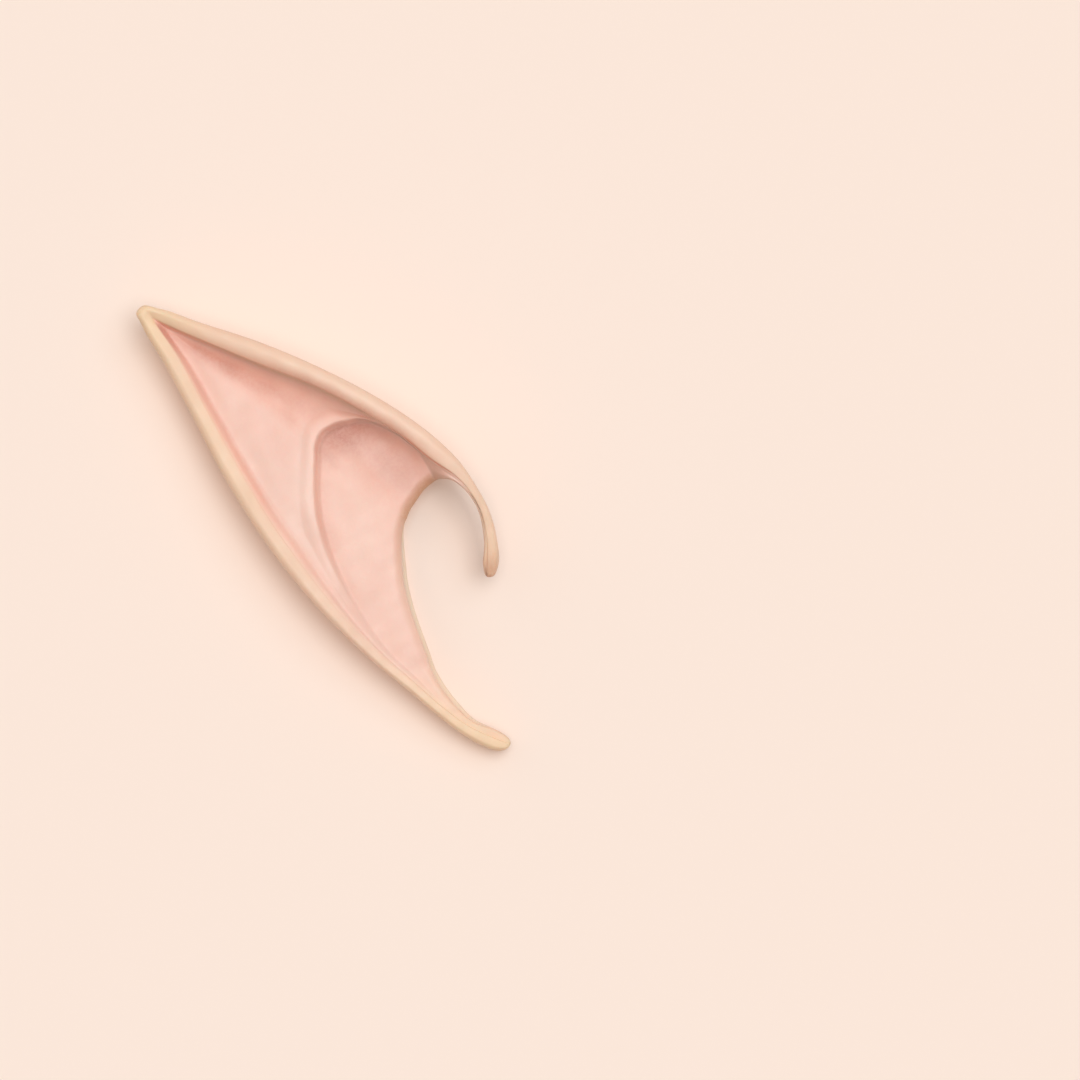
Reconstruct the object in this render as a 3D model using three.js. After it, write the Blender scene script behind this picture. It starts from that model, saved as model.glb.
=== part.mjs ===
// A slip-on elf ear tip, the wearer's right one: a single hollow latex casting.
//
// The ear lies on its back. +Y runs along it from the tail to the tip, +X points at the
// wearer's face and +Z up out of the moulded face. Lengths are in millimetres.
//
// The shell is one closed band. A C-shaped section, made of the face, the rolled rim and the
// back wall, is carried along the rim from the end of the hook, round the tip, to the end of
// the tail. The open side of the C is the pocket that slips over the wearer's own ear.
import * as THREE from 'three';
import { mergeVertices } from 'three/addons/utils/BufferGeometryUtils.js';

// Overall sizes
const EAR_LENGTH = 120; // tail end to tip
const EAR_WIDTH = 42.5; // back rim to front rim
const EAR_DEPTH = 20; // flat back to the highest crest of the rim
const WALL = 1.3; // latex thickness

// Rolled rim
const ROLL_CREST = 0.46; // place of the crest across the roll, from its outer side
const ROLL_DROP = 1.5; // crest down to the roll's inner lip where it hangs over the face
const BAND_DROP = 0.3; // the same where it is a flat band beside the face
const ROLL_SIDE = 2.4; // crest down to the widest line of the outer side
const ROLL_FOOT = 1.8; // run of the curve from under the roll out on to the face
const BAND_FOOT = 3.4; // run of the slope from the flat band down on to the face
const TUCK_DEPTH = 2.4; // pull of that curve in under the roll
const TUCK_HANG = 0.4; // how low that pull starts, as a share of the climb to the roll's lip
const LIP_RISE = 0.2; // least climb to that lip, as a share of the climb to the crest

// Face
const FACE_TILT = 0.08; // fall of the face for each millimetre towards the front rim
const FACE_STEP = 0.3; // face below the crest where the strip is narrow
const FACE_FULL = 8; // width of face at which it takes its own height
const GROOVE_DEPTH = 0.6; // hollow of the face along the rim
const GROOVE_WIDTH = 5;
const RIDGE_HEIGHT = 0.5; // antihelix above the face
const RIDGE_RISE = 1.8; // run of its drop into the bowl
const RIDGE_HALF = 2.4; // half the run of its rounded top
const RIDGE_SHARE = 0.66; // share of that half from its crest to the middle of its drop
const CONCHA_DEPTH = 1.9; // bowl inside the antihelix, below the face
const LIP_RUN = 2.4; // run of the turned-down lip along the opening
const LIP_DROP = 2.2; // fall of that lip where it is fullest
const BACK_REACH = 0.8; // the back wall shows this far past the lip, seen from above

// Back
const BACK_SHOULDER = 12; // run of the curve from the rim down to the flat back
const BACK_ROUND = 2.3; // squareness of that curve, 2 being an ellipse
const TIP_RISE = 8; // the bend lifts the tip off the surface
const BEND_START = 0.65; // share of the length at which the bend starts

// Pocket
const POCKET_ROUND = 1.6; // run over which the pocket opens from its rounded edge
const TIP_SOLID = 6; // the casting is filled this far in from the tip
const TIP_FADE = 9; // run along the rim over which that filling dies away

// Where a rib is narrow, the most that each of these may take of what it is cut from
const WALL_SHARE = 0.36; // one wall, of the local depth
const FOOT_SHARE = 0.4; // the roll's foot, of the face
const FLANK_SHARE = 0.25; // each flank of the antihelix, of the face
const LIP_SHARE = 0.5; // the turned-down lip, of the bowl
const SHOULDER_SHARE = 0.85; // the back's shoulder, of the whole rib
const RIM_SHARE = 0.8; // the solid rim beside the pocket, of the whole rib

// Mesh
const STATION_STEP = 3; // along the rim
const LEAST_STEPS = 2; // between two ribs of the table
const LIP_STEPS = 3;
const BOWL_STEPS = 4;
const DROP_STEPS = 2;
const RIDGE_STEPS = 4;
const FACE_STEPS = 5;
const FOOT_STEPS = 3;
const ROLL_STEPS = 6;
const BACK_STEPS = 9;
const START_STEPS = 8; // tries within one wall for the pocket's start
const SAME_POINT = 1e-4;

// The ribs. Each is one section of the C, from the lip of the opening across the face to the
// rim. Plan places (x, y) are in hundredths of the ear's width and length, from the line
// between tail end and tip. Crest and back are in hundredths of the ear's depth. Tuck, bowl,
// turn and reach are the rib's shares of TUCK_DEPTH, CONCHA_DEPTH, LIP_DROP and BACK_REACH,
// and crease is how much of the antihelix stands between the bowl and the rim.
const RIB_COLUMNS = [
  'lipX', 'lipY', 'foldX', 'foldY', 'rollX', 'rollY', 'rimX', 'rimY',
  'crest', 'back', 'tuck', 'bowl', 'crease', 'turn', 'reach',
];
const RIBS = [
  [44.5, 25.3, 44.9, 25.1, 45.2, 25.0, 47.1, 24.1, 50, 25, 0.0, 0.0, 0.0, 0.15, 0.0], // hook end
  [47.1, 26.9, 47.9, 26.7, 48.7, 26.4, 52.7, 25.2, 56, 27, 0.0, 0.0, 0.0, 0.2, 0.0],
  [55.3, 30.0, 56.2, 29.9, 57.0, 29.8, 61.4, 29.2, 64, 30, 0.0, 0.0, 0.0, 0.25, 0.0],
  [62.4, 34.2, 63.1, 34.1, 63.8, 34.1, 67.3, 33.7, 73, 33, 0.0, 0.0, 0.0, 0.25, 0.0],
  [64.7, 38.2, 65.5, 38.2, 66.3, 38.3, 70.3, 38.5, 82, 32, 0.0, 0.0, 0.0, 0.3, 0.0],
  [63.3, 41.5, 64.6, 41.8, 65.9, 42.1, 71.8, 43.0, 90, 23, 0.1, 0.2, 0.0, 0.5, 0.0], // hook root
  [59.3, 43.2, 61.2, 46.0, 62.4, 46.7, 71.1, 47.5, 95, 8, 0.4, 0.6, 0.0, 0.8, 0.0],
  [54.1, 43.7, 57.9, 53.2, 58.6, 53.6, 67.8, 53.8, 98, 1, 0.8, 1.0, 0.0, 1.0, 0.0], // top of the notch
  [49.9, 43.7, 52.5, 58.2, 53.9, 58.7, 63.3, 59.4, 100, 0, 1.0, 1.0, 0.6, 1.0, 0.0],
  [43.8, 43.2, 41.4, 61.5, 43.5, 68.5, 51.8, 70.0, 96, 0, 1.0, 1.0, 1.0, 1.0, 0.0],
  [38.6, 42.7, 32.0, 62.6, 28.7, 79.2, 36.9, 81.4, 80, 0, 0.9, 1.0, 1.0, 0.95, 0.0],
  [35.3, 42.2, 27.1, 62.3, 14.5, 90.3, 20.5, 91.8, 54, 0, 0.6, 1.0, 1.0, 0.9, 0.0],
  [33.9, 41.9, 25.3, 61.9, 6.8, 95.5, 9.6, 97.8, 34, 0, 0.2, 1.0, 1.0, 0.9, 0.0],
  [33.0, 41.8, 24.4, 61.7, 3.4, 97.1, 3.3, 99.9, 28, 0, 0.0, 1.0, 1.0, 0.9, 0.0], // tip
  [32.6, 41.7, 23.5, 61.5, 2.9, 96.4, -0.8, 99.7, 29, 0, 0.0, 1.0, 1.0, 0.9, 0.0],
  [32.0, 41.6, 22.5, 61.2, 2.6, 95.8, -2.6, 97.8, 31, 0, 0.0, 1.0, 1.0, 0.9, 0.0],
  [30.1, 41.2, 20.6, 60.4, 0.6, 89.7, -6.9, 89.7, 43, 0, 0.0, 1.0, 1.0, 0.9, 0.1],
  [26.4, 40.1, 15.7, 58.4, -5.6, 79.5, -13.4, 79.5, 55.5, 0, 0.0, 1.0, 1.0, 0.85, 0.4],
  [22.1, 38.4, 7.4, 54.9, -12.2, 68.3, -20.5, 68.6, 66, 0, 0.0, 1.0, 1.0, 0.75, 0.8],
  [17.2, 36.2, -1.3, 50.0, -18.1, 56.2, -25.9, 56.3, 69, 0, 0.0, 1.0, 0.95, 0.65, 1.0],
  [11.3, 33.1, -8.6, 43.2, -20.7, 44.7, -28.0, 44.9, 68.5, 0, 0.0, 0.9, 0.6, 0.5, 1.0],
  [4.7, 28.3, -13.4, 35.3, -21.2, 34.7, -27.1, 34.6, 65, 0, 0.0, 0.7, 0.1, 0.4, 1.0],
  [-1.6, 22.5, -15.5, 27.2, -19.5, 26.3, -24.4, 26.1, 58.5, 0, 0.0, 0.4, 0.0, 0.3, 1.0], // neck
  [-6.6, 17.5, -13.4, 18.7, -16.0, 18.3, -20.4, 17.9, 50.5, 0, 0.0, 0.2, 0.0, 0.25, 1.0],
  [-8.0, 11.7, -11.5, 11.7, -12.9, 11.6, -17.4, 11.3, 45, 1, 0.0, 0.0, 0.0, 0.2, 0.9],
  [-6.1, 7.2, -8.2, 7.0, -9.4, 6.8, -14.1, 6.3, 40, 3, 0.0, 0.0, 0.0, 0.2, 0.5],
  [-1.4, 4.3, -4.2, 3.9, -5.6, 3.8, -10.8, 3.1, 37, 6, 0.0, 0.0, 0.0, 0.2, 0.0], // tail flare
  [1.1, 1.8, -0.9, 1.5, -1.9, 1.3, -6.1, 0.6, 35, 8, 0.0, 0.0, 0.0, 0.15, 0.0],
  [1.3, 0.6, 0.7, 0.4, 0.2, 0.3, -1.9, -0.2, 33, 9, 0.0, 0.0, 0.0, 0.1, 0.0], // tail end
];

// Height of the face along the ear, before the bend: places in hundredths of the length and
// heights in hundredths of the depth.
const FACE_COLUMNS = ['along', 'height'];
const FACE_HEIGHTS = [
  [0, 30], [10, 39], [21, 51], [33, 60], [46, 64],
  [58, 64], [71, 58], [83, 43.5], [92, 31.5], [100, 19],
];

const LATEX = new THREE.MeshStandardMaterial({
  name: 'latex',
  color: new THREE.Color(0.92, 0.72, 0.6),
  roughness: 0.55,
  metalness: 0,
});

const { clamp, lerp } = THREE.MathUtils;
const smooth = (share) => THREE.MathUtils.smoothstep(share, 0, 1);
const acrossEar = (share) => (share * EAR_WIDTH) / 100;
const alongEar = (share) => (share * EAR_LENGTH) / 100;
const upEar = (share) => (share * EAR_DEPTH) / 100;

// One list for each named column of a table.
function columnsOf(names, rows) {
  return Object.fromEntries(names.map((name, i) => [name, rows.map((row) => row[i])]));
}

// A cubic through the values at the knots, held level past the first and last of them.
function splineThrough(knots, values) {
  const last = knots.length - 1;
  const secant = (i) => (values[i + 1] - values[i]) / (knots[i + 1] - knots[i]);
  const slopes = values.map((_, i) => {
    if (i === 0) return secant(0);
    if (i === last) return secant(last - 1);
    const before = knots[i] - knots[i - 1];
    const after = knots[i + 1] - knots[i];
    return (after * secant(i - 1) + before * secant(i)) / (before + after);
  });
  return (at) => {
    const place = clamp(at, knots[0], knots[last]);
    const i = Math.min(knots.findLastIndex((knot) => knot <= place), last - 1);
    const span = knots[i + 1] - knots[i];
    const s = (place - knots[i]) / span;
    const r = 1 - s;
    return values[i] * (1 + 2 * s) * r * r
      + values[i + 1] * (1 + 2 * r) * s * s
      + span * s * r * (slopes[i] * r - slopes[i + 1] * s);
  };
}

// Quarter of a rounded square: 0 at 0, rising steeply, then level at 1.
function shoulderAt(share) {
  const left = 1 - clamp(share, 0, 1);
  return (1 - left ** BACK_ROUND) ** (1 / BACK_ROUND);
}

// The tables as functions: ribs by distance along the rim, the face by distance along the ear
const ribs = columnsOf(RIB_COLUMNS, RIBS);
const ribKnots = [0];
for (let i = 1; i < RIBS.length; i++) {
  const across = acrossEar(ribs.rimX[i] - ribs.rimX[i - 1]);
  const along = alongEar(ribs.rimY[i] - ribs.rimY[i - 1]);
  ribKnots.push(ribKnots[i - 1] + Math.hypot(across, along));
}
const ribValue = Object.fromEntries(
  RIB_COLUMNS.map((name) => [name, splineThrough(ribKnots, ribs[name])]),
);
const tipKnot = ribKnots[ribs.rimY.indexOf(Math.max(...ribs.rimY))];
const faceRows = columnsOf(FACE_COLUMNS, FACE_HEIGHTS);
const faceValue = splineThrough(faceRows.along.map(alongEar), faceRows.height.map(upEar));

// The bend that lifts the tip, added to every height.
function bendAt(y) {
  const start = BEND_START * EAR_LENGTH;
  return TIP_RISE * Math.max(0, (y - start) / (EAR_LENGTH - start)) ** 2;
}

// One rib at a distance along the rim. Runs are measured in plan from the rim inwards.
class Rib {
  constructor(distance) {
    const value = (name) => ribValue[name](distance);
    const plan = (name) => new THREE.Vector2(
      acrossEar(value(`${name}X`)),
      alongEar(value(`${name}Y`)),
    );
    const [lip, fold, roll, rim] = ['lip', 'fold', 'roll', 'rim'].map(plan);
    this.path = new THREE.Path([rim, roll, fold, lip]);
    this.rollRun = rim.distanceTo(roll);
    this.foldRun = this.rollRun + roll.distanceTo(fold);
    this.lipRun = this.foldRun + fold.distanceTo(lip);
    this.crest = upEar(value('crest'));
    this.back = upEar(Math.max(0, value('back')));
    this.side = this.crest - Math.min(ROLL_SIDE, (this.crest - this.back) / 2);
    this.hang = clamp(value('tuck'), 0, 1);
    this.tuck = TUCK_DEPTH * this.hang;
    this.crease = clamp(value('crease'), 0, 1);
    this.ridge = RIDGE_HEIGHT * this.crease;
    this.bowl = CONCHA_DEPTH * clamp(value('bowl'), 0, 1);
    this.drop = LIP_DROP * clamp(value('turn'), 0, 1);
    this.backRun = this.lipRun + BACK_REACH * clamp(value('reach'), 0, 1);
    this.outward = lip.clone().sub(fold).normalize();
    this.width = smooth((this.lipRun - this.rollRun) / FACE_FULL);

    const faceSpan = this.foldRun - this.rollRun;
    const foot = lerp(BAND_FOOT, ROLL_FOOT, this.hang);
    this.footRun = this.rollRun + Math.min(foot, faceSpan * FOOT_SHARE);
    this.rise = Math.min(RIDGE_RISE, faceSpan * FLANK_SHARE);
    this.half = Math.min(RIDGE_HALF, faceSpan * FLANK_SHARE);
    this.ridgeStart = this.foldRun - this.rise / 2;
    this.ridgeTop = this.foldRun - this.half * RIDGE_SHARE;
    this.ridgeEnd = this.ridgeTop - this.half;
    this.lipStart = this.lipRun - Math.min(LIP_RUN, (this.lipRun - this.foldRun) * LIP_SHARE);
    this.shoulder = Math.min(BACK_SHOULDER, this.lipRun * SHOULDER_SHARE);
    this.rimWall = Math.min(WALL, this.shoulder * WALL_SHARE);
    this.fill = TIP_SOLID * Math.exp(-(((distance - tipKnot) / TIP_FADE) ** 2));
  }

  // Plan point at a run. Past the lip it goes straight on.
  planAt(run) {
    const point = this.path.getPoint(clamp(run / this.lipRun, 0, 1));
    return point.addScaledVector(this.outward, Math.max(0, run - this.lipRun));
  }

  // How far the bowl has set in at a run: an even slope from the roll's foot to the fold.
  slopeAt(run) {
    return smooth((run - this.footRun) / (this.foldRun + this.rise / 2 - this.footRun));
  }

  // Face at a run with its antihelix left out: the ear's own height, less the bowl, the groove
  // along the roll and the turned-down lip.
  plainFaceAt(run) {
    const at = clamp(run, this.footRun, this.lipRun);
    const point = this.planAt(at);
    const own = faceValue(point.y) - FACE_TILT * point.x;
    const groove = GROOVE_DEPTH * this.width
      * Math.exp(-(((at - this.footRun) / GROOVE_WIDTH) ** 2));
    const turned = Math.max(0, (at - this.lipStart) / (this.lipRun - this.lipStart)) ** 2;
    const hollow = this.bowl * this.slopeAt(at) + groove + this.drop * turned;
    return lerp(this.crest - FACE_STEP, own, this.width) - hollow;
  }

  // Top of the face at a run: the plain face with the antihelix standing on it. Where the
  // crease is full, the bowl's slope gives way to a short drop inside the antihelix.
  faceAt(run) {
    const at = clamp(run, this.footRun, this.lipRun);
    const across = clamp(Math.abs(at - this.ridgeTop) / this.half, 0, 1);
    const short = smooth((at - this.ridgeStart) / this.rise) - this.slopeAt(at);
    const relief = this.ridge * (1 - across ** 2) ** 1.5;
    return this.plainFaceAt(at) + relief - this.bowl * this.crease * short;
  }

  // Outside of the back wall at a run.
  backAt(run) {
    return lerp(this.side, this.back, shoulderAt(run / this.shoulder));
  }

  // Thickness of one wall at a run.
  wallAt(run) {
    return Math.min(WALL, (this.plainFaceAt(run) - this.backAt(run)) * WALL_SHARE);
  }

  // Inside of the back wall at a run: its outside moved in and up by the wall.
  floorAt(run) {
    const share = (run - this.rimWall) / (this.shoulder - this.rimWall);
    return lerp(this.side, this.back + this.wallAt(run), shoulderAt(share));
  }

  // Underside of the face at a run.
  ceilingAt(run) {
    return this.plainFaceAt(run) - this.wallAt(run);
  }

  // Run at which the pocket starts: inside the rim, where there is room under the face.
  pocketStart() {
    const farthest = this.lipRun * RIM_SHARE;
    const room = (run) => this.ceilingAt(run) - this.floorAt(run);
    let run = this.rimWall;
    while (run < farthest && room(run) < POCKET_ROUND / 2) run += this.rimWall / START_STEPS;
    return Math.min(Math.max(run, this.fill), farthest);
  }

  // Curve from the face up to the roll, as (run, height). It hangs over the face where the
  // roll does, and is a plain slope where the rim is a flat band.
  footCurve() {
    const low = this.faceAt(this.footRun);
    const drop = lerp(BAND_DROP, ROLL_DROP, this.hang);
    const high = Math.max(this.crest - drop, lerp(low, this.crest, LIP_RISE));
    const reach = lerp(this.footRun, this.rollRun, 0.5);
    const over = lerp(high, lerp(low, high, TUCK_HANG), this.hang);
    return new THREE.CubicBezierCurve(
      new THREE.Vector2(this.footRun, low),
      new THREE.Vector2(lerp(reach, this.rollRun - this.tuck, this.hang), low),
      new THREE.Vector2(lerp(reach, this.rollRun, this.hang), over),
      new THREE.Vector2(this.rollRun, high),
    );
  }

  // Runs across the face from the lip to the foot of the roll, the foot left out.
  faceRuns() {
    const stretch = (from, to, steps) => Array.from(
      { length: steps },
      (_, i) => lerp(from, to, i / steps),
    );
    return [
      ...stretch(this.lipRun, this.lipStart, LIP_STEPS),
      ...stretch(this.lipStart, this.foldRun + this.rise / 2, BOWL_STEPS),
      ...stretch(this.foldRun + this.rise / 2, this.ridgeStart, DROP_STEPS),
      ...stretch(this.ridgeStart, this.ridgeEnd, RIDGE_STEPS),
      ...stretch(this.ridgeEnd, this.footRun, FACE_STEPS),
    ];
  }

  // The moulded side, as (run, height) from the lip to the rim.
  front() {
    const points = this.faceRuns().map((run) => new THREE.Vector2(run, this.faceAt(run)));
    const foot = this.footCurve();
    points.push(...foot.getPoints(FOOT_STEPS).slice(0, -1));
    const lipHeight = foot.v3.y;
    for (let i = 0; i <= ROLL_STEPS; i++) {
      const angle = (Math.PI * i) / ROLL_STEPS;
      const inner = angle <= Math.PI / 2;
      const half = inner ? 1 - ROLL_CREST : ROLL_CREST;
      const run = this.rollRun * (ROLL_CREST + half * Math.cos(angle));
      points.push(new THREE.Vector2(
        Math.max(0, run),
        lerp(inner ? lipHeight : this.side, this.crest, Math.sin(angle)),
      ));
    }
    return points;
  }

  // The back, from just inside the rim to the opening.
  rear() {
    return Array.from({ length: BACK_STEPS }, (_, i) => {
      const run = this.backRun * ((i + 1) / BACK_STEPS) ** 2;
      return new THREE.Vector2(run, this.backAt(run));
    });
  }

  // The pocket, from the opening along the back wall to its edge and back under the face.
  pocket() {
    const start = this.pocketStart();
    const middle = lerp(this.floorAt(start), this.ceilingAt(start), 0.5);
    const opened = (run) => shoulderAt((run - start) / Math.min(POCKET_ROUND, this.lipRun - start));
    const floor = Array.from({ length: BACK_STEPS }, (_, i) => {
      const run = start + (this.backRun - start) * (1 - i / (BACK_STEPS - 1)) ** 2;
      return new THREE.Vector2(run, lerp(middle, this.floorAt(run), opened(run)));
    });
    const ceiling = this.faceRuns()
      .reverse()
      .map((run) => lerp(start, this.lipRun, run / this.lipRun))
      .map((run) => new THREE.Vector2(run, lerp(middle, this.ceilingAt(run), opened(run))));
    return [...floor, ...ceiling];
  }

  // The whole closed section, as (run, height).
  section() {
    return [...this.front(), ...this.rear(), ...this.pocket()];
  }

  // The section's points in space.
  points() {
    return this.section().map(({ x: run, y: height }) => {
      const plan = this.planAt(run);
      return new THREE.Vector3(plan.x, plan.y, height + bendAt(plan.y));
    });
  }
}

// Every distance along the rim at which there is a rib: the table's own and those between.
function ribDistances() {
  const found = [];
  for (let i = 1; i < ribKnots.length; i++) {
    const span = ribKnots[i] - ribKnots[i - 1];
    const steps = Math.max(LEAST_STEPS, Math.round(span / STATION_STEP));
    for (let k = 0; k < steps; k++) found.push(ribKnots[i - 1] + (span * k) / steps);
  }
  return [...found, ribKnots.at(-1)];
}

// The closed band through all ribs, with a flat cap at the hook's end and at the tail's.
function shellGeometry() {
  const stations = ribDistances().map((distance) => new Rib(distance));
  const rings = stations.map((rib) => rib.points());
  const size = rings[0].length;
  const index = [];
  for (let i = 1; i < rings.length; i++) {
    for (let k = 0; k < size; k++) {
      const next = (k + 1) % size;
      const a = (i - 1) * size + k;
      const b = (i - 1) * size + next;
      const c = i * size + next;
      const d = i * size + k;
      index.push(a, b, d, b, c, d);
    }
  }
  const capOf = (rib, first, flip) => {
    for (const [a, b, c] of THREE.ShapeUtils.triangulateShape(rib.section(), [])) {
      index.push(first + a, first + (flip ? c : b), first + (flip ? b : c));
    }
  };
  capOf(stations[0], 0, true);
  capOf(stations.at(-1), (rings.length - 1) * size, false);

  const geometry = new THREE.BufferGeometry().setFromPoints(rings.flat());
  geometry.setIndex(index);
  return mergeVertices(geometry, SAME_POINT);
}

// The ear stands with the middle of its plan over the origin and its flat back at zero
const geometry = shellGeometry();
geometry.computeBoundingBox();
const box = geometry.boundingBox;
geometry.translate(
  -(box.min.x + box.max.x) / 2,
  -(box.min.y + box.max.y) / 2,
  -box.min.z,
);
geometry.computeVertexNormals();

const shell = new THREE.Mesh(geometry, LATEX);
shell.name = 'ear_shell';

const ear = new THREE.Group();
ear.add(shell);

export default ear;
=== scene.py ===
"""Looks of the elf ear tip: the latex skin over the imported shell, the floor, the light and the camera.

Shapes are worked out in millimetres in the ear's own frame and put into meshes in metres.
"""

import logging
import math
from dataclasses import dataclass, field
from enum import Enum

import bpy
import numpy as np
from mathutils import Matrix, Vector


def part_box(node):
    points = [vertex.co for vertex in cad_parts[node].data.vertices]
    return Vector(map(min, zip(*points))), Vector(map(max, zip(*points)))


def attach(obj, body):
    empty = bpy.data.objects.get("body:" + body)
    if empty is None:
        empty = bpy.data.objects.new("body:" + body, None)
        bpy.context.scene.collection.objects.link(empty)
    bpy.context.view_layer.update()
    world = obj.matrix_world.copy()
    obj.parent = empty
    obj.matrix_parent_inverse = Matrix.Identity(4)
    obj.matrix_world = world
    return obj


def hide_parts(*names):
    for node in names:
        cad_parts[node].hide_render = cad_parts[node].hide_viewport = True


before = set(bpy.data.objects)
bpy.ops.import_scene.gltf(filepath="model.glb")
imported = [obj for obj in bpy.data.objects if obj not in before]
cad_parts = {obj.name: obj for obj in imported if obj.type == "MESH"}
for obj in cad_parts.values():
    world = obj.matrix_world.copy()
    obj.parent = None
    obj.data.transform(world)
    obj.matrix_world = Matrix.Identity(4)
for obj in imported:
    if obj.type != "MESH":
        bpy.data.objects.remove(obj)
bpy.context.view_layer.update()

log = logging.getLogger("ear_tip")

Array = np.ndarray
Socket = bpy.types.NodeSocket
Pair = tuple[float, float]
Colour = tuple[float, float, float]
NoiseLook = tuple[float, float, float]

MILLIMETRE = 0.001
NODE = "ear_shell"
BODY = "root"

# One row for each rib, from the hook's end round the tip to the tail's end. The eight plan
# columns are percents of width and length, crest and back are percents of depth, and the rest
# are shares. Rows 10 to 12 lie up to 0.8 mm further in than the solid's, as in the photo.
RIB_COLUMNS = (
    "lip_x", "lip_y", "fold_x", "fold_y", "roll_x", "roll_y", "rim_x", "rim_y",
    "crest", "back", "tuck", "bowl", "crease", "turn", "reach",
)
RIBS = (
    (44.5, 25.3, 44.9, 25.1, 45.2, 25, 47.1, 24.1, 50, 25, 0, 0, 0, 0.15, 0),
    (47.1, 26.9, 47.9, 26.7, 48.7, 26.4, 52.7, 25.2, 56, 27, 0, 0, 0, 0.2, 0),
    (55.3, 30, 56.2, 29.9, 57, 29.8, 61.4, 29.2, 64, 30, 0, 0, 0, 0.25, 0),
    (62.4, 34.2, 63.1, 34.1, 63.8, 34.1, 67.3, 33.7, 73, 33, 0, 0, 0, 0.25, 0),
    (64.7, 38.2, 65.5, 38.2, 66.3, 38.3, 70.3, 38.5, 82, 32, 0, 0, 0, 0.3, 0),
    (63.3, 41.5, 64.6, 41.8, 65.9, 42.1, 71.8, 43, 90, 23, 0.1, 0.2, 0, 0.5, 0),
    (59.3, 43.2, 61.2, 46, 62.4, 46.7, 71.1, 47.5, 95, 8, 0.4, 0.6, 0, 0.8, 0),
    (54.1, 43.7, 57.9, 53.2, 58.6, 53.6, 67.8, 53.8, 98, 1, 0.8, 1, 0, 1, 0),
    (49.9, 43.7, 52.5, 58.2, 53.9, 58.7, 63.3, 59.4, 100, 0, 1, 1, 0.6, 1, 0),
    (43.8, 43.2, 41.4, 61.5, 43.5, 68.5, 51.8, 70, 96, 0, 1, 1, 1, 1, 0),
    (38.6, 42.7, 32, 62.6, 28.1, 79.1, 36.3, 81.3, 80, 0, 0.9, 1, 1, 0.95, 0),
    (35.3, 42.2, 27.1, 62.3, 12.8, 90, 19.1, 91.5, 54, 0, 0.6, 1, 1, 0.9, 0),
    (33.9, 41.9, 25.3, 61.9, 5.7, 95.3, 8.8, 97.7, 34, 0, 0.2, 1, 1, 0.9, 0),
    (33.0, 41.8, 24.4, 61.7, 3.4, 97.1, 3.3, 99.9, 28, 0, 0, 1, 1, 0.9, 0),
    (32.6, 41.7, 23.5, 61.5, 2.9, 96.4, -0.8, 99.7, 29, 0, 0, 1, 1, 0.9, 0),
    (32.0, 41.6, 22.5, 61.2, 2.6, 95.8, -2.6, 97.8, 31, 0, 0, 1, 1, 0.9, 0),
    (30.1, 41.2, 20.6, 60.4, 0.6, 89.7, -6.9, 89.7, 43, 0, 0, 1, 1, 0.9, 0.1),
    (26.4, 40.1, 15.7, 58.4, -5.6, 79.5, -13.4, 79.5, 55.5, 0, 0, 1, 1, 0.85, 0.4),
    (22.1, 38.4, 7.4, 54.9, -12.2, 68.3, -20.5, 68.6, 66, 0, 0, 1, 1, 0.75, 0.8),
    (17.2, 36.2, -1.3, 50, -18.1, 56.2, -25.9, 56.3, 69, 0, 0, 1, 0.95, 0.65, 1),
    (11.3, 33.1, -8.6, 43.2, -20.7, 44.7, -28.0, 44.9, 68.5, 0, 0, 0.9, 0.6, 0.5, 1),
    (4.7, 28.3, -13.4, 35.3, -21.2, 34.7, -27.1, 34.6, 65, 0, 0, 0.7, 0.1, 0.4, 1),
    (-1.6, 22.5, -15.5, 27.2, -19.5, 26.3, -24.4, 26.1, 58.5, 0, 0, 0.4, 0, 0.3, 1),
    (-6.6, 17.5, -13.4, 18.7, -16.0, 18.3, -20.4, 17.9, 50.5, 0, 0, 0.2, 0, 0.25, 1),
    (-8.0, 11.7, -11.5, 11.7, -12.9, 11.6, -17.4, 11.3, 45, 1, 0, 0, 0, 0.2, 0.9),
    (-6.1, 7.2, -8.2, 7, -9.4, 6.8, -14.1, 6.3, 40, 3, 0, 0, 0, 0.2, 0.5),
    (-1.4, 4.3, -4.2, 3.9, -5.6, 3.8, -10.8, 3.1, 37, 6, 0, 0, 0, 0.2, 0),
    (1.1, 1.8, -0.9, 1.5, -1.9, 1.3, -6.1, 0.6, 35, 8, 0, 0, 0, 0.15, 0),
    (1.3, 0.6, 0.7, 0.4, 0.2, 0.3, -1.9, -0.2, 33, 9, 0, 0, 0, 0.1, 0),
)
TIP_RIB = 13
# The face's own height along the ear: percent of length, percent of depth.
FACE_HEIGHTS = (
    (0, 30), (10, 39), (21, 51), (33, 60), (46, 64),
    (58, 64), (71, 58), (83, 43.5), (92, 31.5), (100, 19),
)
# The painted shadow out from the overhanging roll, by the distance along the rim, in millimetres.
SHADE_COLUMNS = ("along", "middle", "half", "share")
PAINTED_ROLL_SHADOW = (
    (30, 4.2, 6.6, 0.42), (38, 4.2, 6.6, 0.70), (48, 4.2, 5.2, 0.52), (60, 4.4, 3.4, 0.34),
    (74, 3.4, 3.0, 0.56), (86, 2.3, 2.8, 0.78), (98, 1.2, 1.8, 0.55), (104, 1.0, 1.0, 0.0),
)
# The hand-poured skin's slow waves: turns a millimetre along x and y, and where each starts.
RIPPLES = ((0.11, 0.05, 0.4), (-0.07, 0.13, 1.9), (0.19, -0.08, 3.1), (0.03, 0.24, 5.2))


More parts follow.
